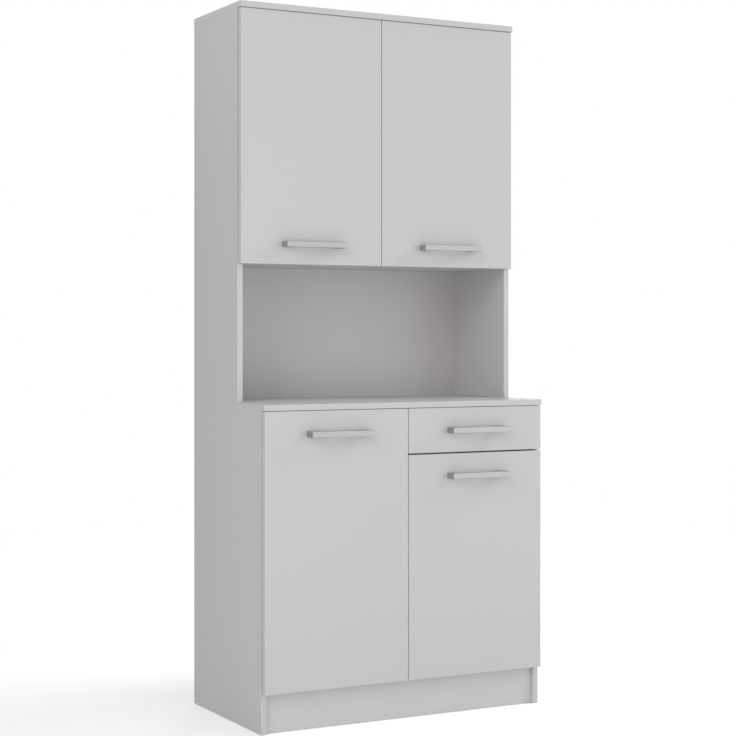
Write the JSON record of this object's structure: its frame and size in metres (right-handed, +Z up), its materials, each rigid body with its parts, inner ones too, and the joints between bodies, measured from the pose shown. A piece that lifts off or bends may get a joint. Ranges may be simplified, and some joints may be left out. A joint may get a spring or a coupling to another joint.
{
  "type": "microwave cabinet",
  "caption": "Tall free-standing kitchen cabinet: deep base with doors and a roller drawer under a countertop, open microwave niche, and a shallower cupboard with doors above.",
  "frame": {"origin": "centre of the bounding box's footprint, on the floor", "axes": "+Z up, -Y towards the fronts of the doors, +Y towards the wall, +X to the right when facing the cabinet"},
  "size_m": [0.8, 0.471, 1.8],
  "materials": {
    "board": "matt light grey-white melamine on particleboard, thin edge banding",
    "back_sheet": "thin lacquered fibreboard",
    "drawer_board": "white foil on thin board",
    "handle_metal": "satin metal",
    "hinge_steel": "nickel-plated pressed steel",
    "screw_steel": "bright zinc-plated steel",
    "cam_zinc": "bare zinc casting",
    "dowel_wood": "plain beech",
    "runner_paint": "white powder coat",
    "roller_plastic": "white nylon"
  },
  "bodies": {
    "carcass": {"base_side_left": "board", "base_side_right": "board", "base_bottom": "board", "base_divider": "board", "drawer_shelf": "board", "countertop": "board", "plinth_front": "board", "plinth_rear": "board", "base_shelf_left": "board", "base_shelf_right": "board", "upper_side_left": "board", "upper_side_right": "board", "upper_bottom": "board", "top_panel": "board", "upper_shelf": "board", "base_back": "back_sheet", "upper_back": "back_sheet", "shelf_pins": "screw_steel", "cam_locks": "cam_zinc", "cam_bolts": "screw_steel", "dowels": "dowel_wood", "connector_screws": "screw_steel", "hinge_plates": "hinge_steel", "hinge_arms": "hinge_steel", "hinge_pins": "hinge_steel", "euro_screws": "screw_steel", "wall_brackets": "screw_steel", "runner_cabinet_left": "runner_paint", "runner_cabinet_right": "runner_paint"},
    "upper_left_door": {"upper_door_left": "board", "handle_upper_left": "handle_metal", "handle_screws_upper_left": "screw_steel", "hinge_cups_upper_left": "hinge_steel"},
    "upper_right_door": {"upper_door_right": "board", "handle_upper_right": "handle_metal", "handle_screws_upper_right": "screw_steel", "hinge_cups_upper_right": "hinge_steel"},
    "base_left_door": {"base_door_left": "board", "handle_base_left": "handle_metal", "handle_screws_base_left": "screw_steel", "hinge_cups_base_left": "hinge_steel"},
    "base_right_door": {"base_door_right": "board", "handle_base_right": "handle_metal", "handle_screws_base_right": "screw_steel", "hinge_cups_base_right": "hinge_steel"},
    "drawer": {"drawer_front": "board", "drawer_box_front": "drawer_board", "drawer_side_left": "drawer_board", "drawer_side_right": "drawer_board", "drawer_back": "drawer_board", "drawer_bottom": "back_sheet", "drawer_handle": "handle_metal", "drawer_handle_screws": "screw_steel", "drawer_screws": "screw_steel", "runner_drawer_left": "runner_paint", "runner_drawer_right": "runner_paint"},
    "roller_front_left": {"roller_front_left": "roller_plastic"},
    "roller_front_right": {"roller_front_right": "roller_plastic"},
    "roller_rear_left": {"roller_rear_left": "roller_plastic"},
    "roller_rear_right": {"roller_rear_right": "roller_plastic"}
  },
  "joints": [
    {"name": "upper_left_hinge", "type": "hinge", "parent": "carcass", "child": "upper_left_door", "pos_m": [-0.3915, -0.0561, 1.465], "axis": [0, 0, -1], "range_deg": [0, 95]},
    {"name": "upper_right_hinge", "type": "hinge", "parent": "carcass", "child": "upper_right_door", "pos_m": [0.3915, -0.0561, 1.465], "axis": [0, 0, 1], "range_deg": [0, 95]},
    {"name": "base_left_hinge", "type": "hinge", "parent": "carcass", "child": "base_left_door", "pos_m": [-0.3915, -0.1981, 0.438], "axis": [0, 0, -1], "range_deg": [0, 95]},
    {"name": "base_right_hinge", "type": "hinge", "parent": "carcass", "child": "base_right_door", "pos_m": [0.3915, -0.1981, 0.382], "axis": [0, 0, 1], "range_deg": [0, 95]},
    {"name": "drawer_slide", "type": "slide", "parent": "carcass", "child": "drawer", "axis": [0, -1, 0], "range_m": [0, 0.28]},
    {"name": "roller_front_left_spin", "type": "hinge", "parent": "carcass", "child": "roller_front_left", "pos_m": [0.0134, -0.1615, 0.7002], "axis": [1, 0, 0], "continuous": true},
    {"name": "roller_front_right_spin", "type": "hinge", "parent": "carcass", "child": "roller_front_right", "pos_m": [0.3791, -0.1615, 0.7002], "axis": [1, 0, 0], "continuous": true},
    {"name": "roller_rear_left_spin", "type": "hinge", "parent": "drawer", "child": "roller_rear_left", "pos_m": [0.0134, 0.1495, 0.698], "axis": [1, 0, 0], "continuous": true},
    {"name": "roller_rear_right_spin", "type": "hinge", "parent": "drawer", "child": "roller_rear_right", "pos_m": [0.3791, 0.1495, 0.698], "axis": [1, 0, 0], "continuous": true}
  ],
  "couplings": [
    {"joint": "roller_front_left_spin", "follows": "drawer_slide", "rad_per_m": 111.11},
    {"joint": "roller_front_right_spin", "follows": "drawer_slide", "rad_per_m": 111.11},
    {"joint": "roller_rear_left_spin", "follows": "drawer_slide", "rad_per_m": 111.11},
    {"joint": "roller_rear_right_spin", "follows": "drawer_slide", "rad_per_m": 111.11}
  ]
}
